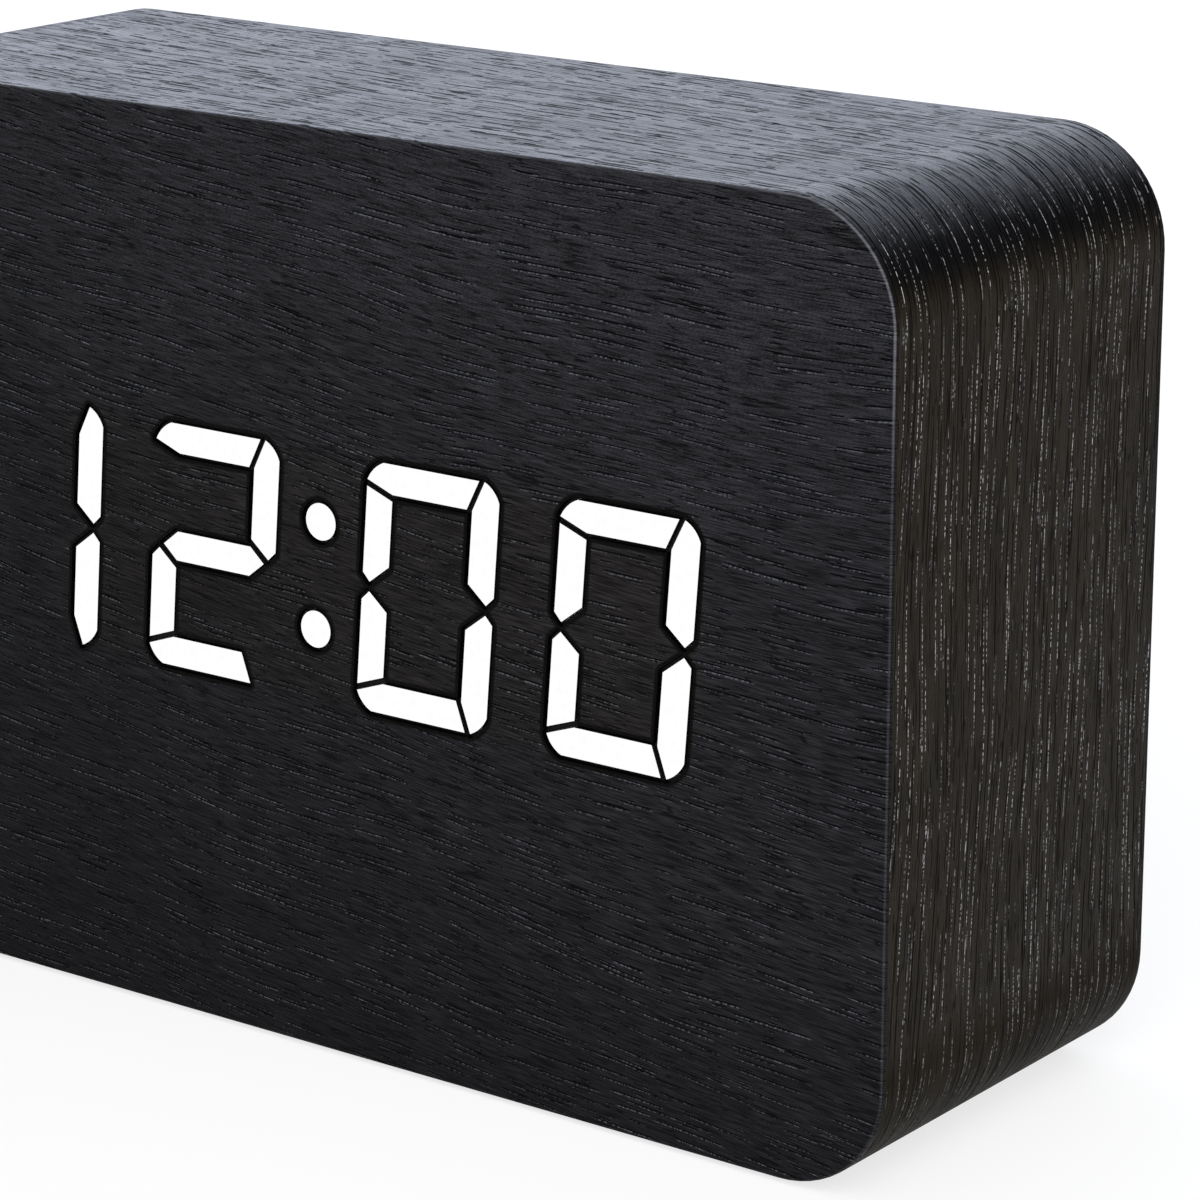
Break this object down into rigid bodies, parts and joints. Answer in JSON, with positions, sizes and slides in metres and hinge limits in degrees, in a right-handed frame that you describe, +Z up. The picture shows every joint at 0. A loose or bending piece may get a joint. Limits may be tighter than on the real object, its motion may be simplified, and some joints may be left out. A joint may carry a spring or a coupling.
{
  "type": "alarm clock",
  "caption": "Free-standing brick-shaped digital alarm clock: black wood veneer over a rounded block, light segments shining through the face, controls and battery bay behind.",
  "frame": {"origin": "on the table, under the middle of the case, at the bottom of the feet", "axes": "+Z up, -Y out of the lit face, +X to the right as the face is read"},
  "size_m": [0.135, 0.045, 0.0905],
  "materials": {
    "black_veneer": "satin black stain over open grain",
    "fibreboard": "raw",
    "rubber_pad": "matt",
    "black_film": "matt",
    "lit_segment": "glowing white",
    "dark_segment": "translucent white, unlit",
    "white_plastic": "matt",
    "light_chip": "clear gel over phosphor",
    "circuit_board": "solder mask",
    "chip_black": "moulded",
    "connector_plastic": "moulded",
    "ribbon_grey": "flexible",
    "steel": "zinc plated",
    "nickel": "nickel plated",
    "black_plastic": "fine spark texture",
    "button_plastic": "smooth matt",
    "plunger_plastic": "moulded",
    "resistor_body": "glazed",
    "capacitor_sleeve": "shrink sleeve",
    "red_wire": "insulation",
    "black_wire": "insulation"
  },
  "bodies": {
    "case": {"case_core": "fibreboard", "wrap_veneer": "black_veneer", "front_board": "fibreboard", "front_veneer": "black_veneer", "rear_veneer": "black_veneer", "rubber_feet": "rubber_pad", "mask_film": "black_film", "diffuser_sheet": "white_plastic", "hour_tens_segments": "lit_segment", "hour_units_segments": "lit_segment", "colon_dots": "lit_segment", "minute_tens_segments": "lit_segment", "minute_units_segments": "lit_segment", "unlit_segments": "dark_segment", "reflector_frame": "white_plastic", "led_chips": "light_chip", "display_board": "circuit_board", "driver_chip": "chip_black", "display_connector": "connector_plastic", "display_board_screws": "steel", "ribbon_cable": "ribbon_grey", "rear_cover": "black_plastic", "cover_screws": "steel", "battery_contacts": "nickel", "battery_springs": "nickel", "positive_lead": "red_wire", "negative_lead": "black_wire", "control_board": "circuit_board", "control_board_screws": "steel", "control_connector": "connector_plastic", "clock_chip": "chip_black", "crystal_can": "nickel", "capacitors": "capacitor_sleeve", "chip_resistors": "resistor_body", "backup_cell_holder": "connector_plastic", "backup_cell": "steel", "buzzer": "chip_black", "power_socket": "nickel", "socket_tongue": "chip_black", "switch_bodies": "chip_black"},
    "battery_door": {"battery_door": "black_plastic"},
    "up_button": {"up_button": "button_plastic", "up_plunger": "plunger_plastic"},
    "down_button": {"down_button": "button_plastic", "down_plunger": "plunger_plastic"},
    "set_button": {"set_button": "button_plastic", "set_plunger": "plunger_plastic"}
  },
  "joints": [
    {"name": "battery_door_slide", "type": "slide", "parent": "case", "child": "battery_door", "axis": [1, 0, 0], "range_m": [0, 0.007]},
    {"name": "up_button_press", "type": "slide", "parent": "case", "child": "up_button", "axis": [0, -1, 0], "range_m": [0, 0.0005], "stiffness_N_per_m": 3000, "springref_m": -0.0001},
    {"name": "down_button_press", "type": "slide", "parent": "case", "child": "down_button", "axis": [0, -1, 0], "range_m": [0, 0.0005], "stiffness_N_per_m": 3000, "springref_m": -0.0001},
    {"name": "set_button_press", "type": "slide", "parent": "case", "child": "set_button", "axis": [0, -1, 0], "range_m": [0, 0.0005], "stiffness_N_per_m": 3000, "springref_m": -0.0001}
  ]
}
